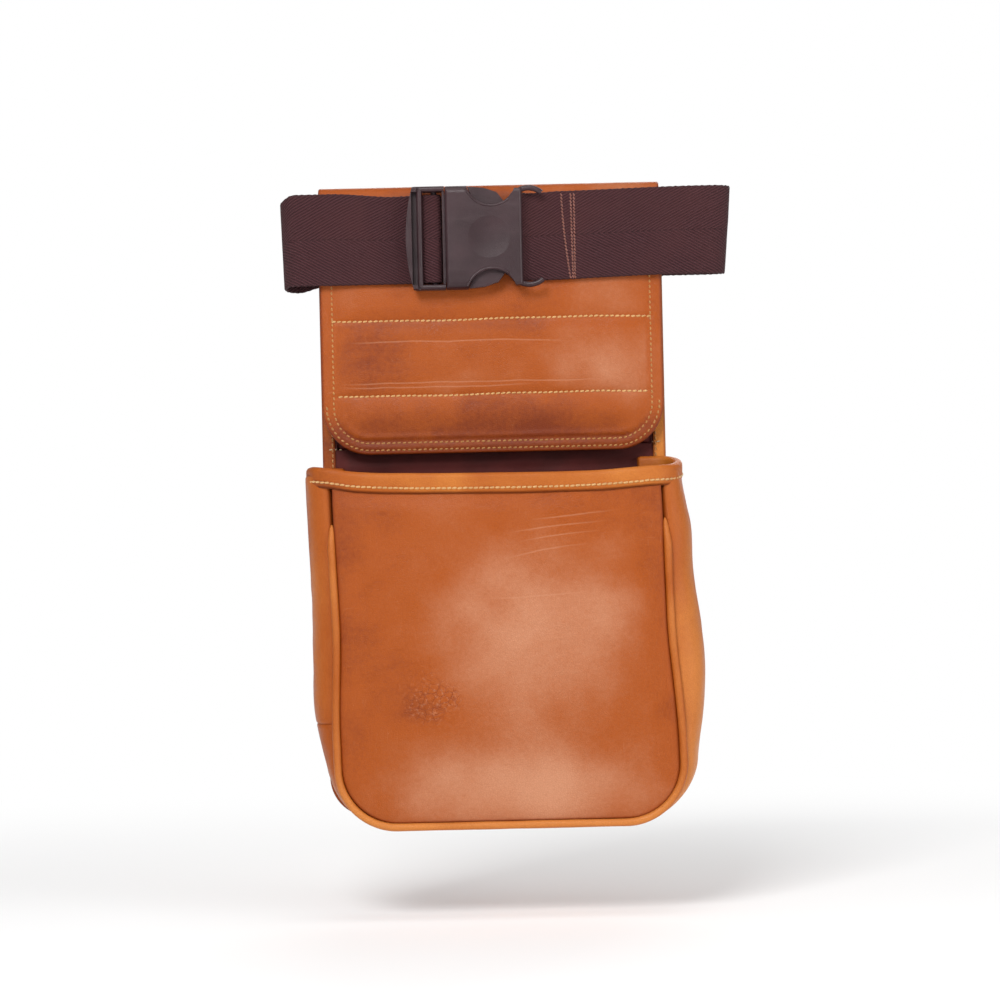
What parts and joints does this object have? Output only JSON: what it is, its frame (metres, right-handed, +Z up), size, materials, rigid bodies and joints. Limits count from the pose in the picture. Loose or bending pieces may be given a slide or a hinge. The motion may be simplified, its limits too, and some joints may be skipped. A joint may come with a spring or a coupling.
{
  "type": "belt pouch",
  "caption": "Leather belt pouch with a padded lift-up flap over a nylon pocket, an open gusseted bag below, and a webbing belt closed by a side-release buckle",
  "frame": {"origin": "centre of the belt tunnel's back face, on the belt's centre line", "axes": "+Z up towards the top fold, +Y out of the back towards the wearer's hip, +X along the belt towards the socket half's fold"},
  "size_m": [0.2586, 0.0552, 0.3675],
  "materials": {
    "leather": "satin, mottled tan",
    "gusset_leather": "satin, mottled tan",
    "nylon": "plain woven nylon",
    "foam": "sewn-in foam",
    "webbing": "herringbone webbing",
    "buckle": "fine-textured moulded plastic"
  },
  "bodies": {
    "pouch": {"back_panel": "leather", "back_lining": "nylon", "edge_strip_left": "leather", "edge_strip_right": "leather", "belt_tunnel": "leather", "flap_yoke": "leather", "yoke_pad": "foam", "yoke_lining": "nylon", "upper_pocket": "nylon", "gusset_left": "gusset_leather", "gusset_main": "gusset_leather", "front_panel": "leather", "front_lining": "nylon", "welt": "gusset_leather", "mouth_binding": "leather"},
    "flap": {"flap_leather": "leather", "flap_pad_upper": "foam", "flap_pad_lower": "foam", "flap_lining": "nylon"},
    "socket_half": {"strap_right_front": "webbing", "strap_right_loop": "webbing", "strap_right_end": "webbing", "strap_right_fold": "webbing", "strap_right_back": "webbing", "buckle_socket": "buckle"},
    "plug_half": {"strap_left_front": "webbing", "strap_left_loop": "webbing", "strap_left_tail": "webbing", "strap_left_fold": "webbing", "strap_left_back": "webbing", "buckle_frame": "buckle"},
    "prong_top": {"prong_upper": "buckle"},
    "prong_bottom": {"prong_lower": "buckle"}
  },
  "joints": [
    {"name": "flap_lift", "type": "hinge", "parent": "pouch", "child": "flap", "pos_m": [0, -0.0196, -0.046], "axis": [-1, 0, 0], "range_deg": [0, 120]},
    {"name": "belt_slide", "type": "slide", "parent": "pouch", "child": "socket_half", "axis": [1, 0, 0], "range_m": [-0.03, 0.012]},
    {"name": "buckle_release", "type": "slide", "parent": "socket_half", "child": "plug_half", "axis": [-1, 0, 0], "range_m": [0, 0.045], "deforming": ["prong_upper", "prong_lower"]},
    {"name": "prong_upper_squeeze", "type": "hinge", "parent": "plug_half", "child": "prong_top", "pos_m": [-0.0226, -0.0275, 0.013], "axis": [0, 1, 0], "range_deg": [0, 8], "stiffness_Nm_per_rad": 0.5},
    {"name": "prong_lower_squeeze", "type": "hinge", "parent": "plug_half", "child": "prong_bottom", "pos_m": [-0.0226, -0.0275, -0.013], "axis": [0, -1, 0], "range_deg": [0, 8], "stiffness_Nm_per_rad": 0.5}
  ]
}
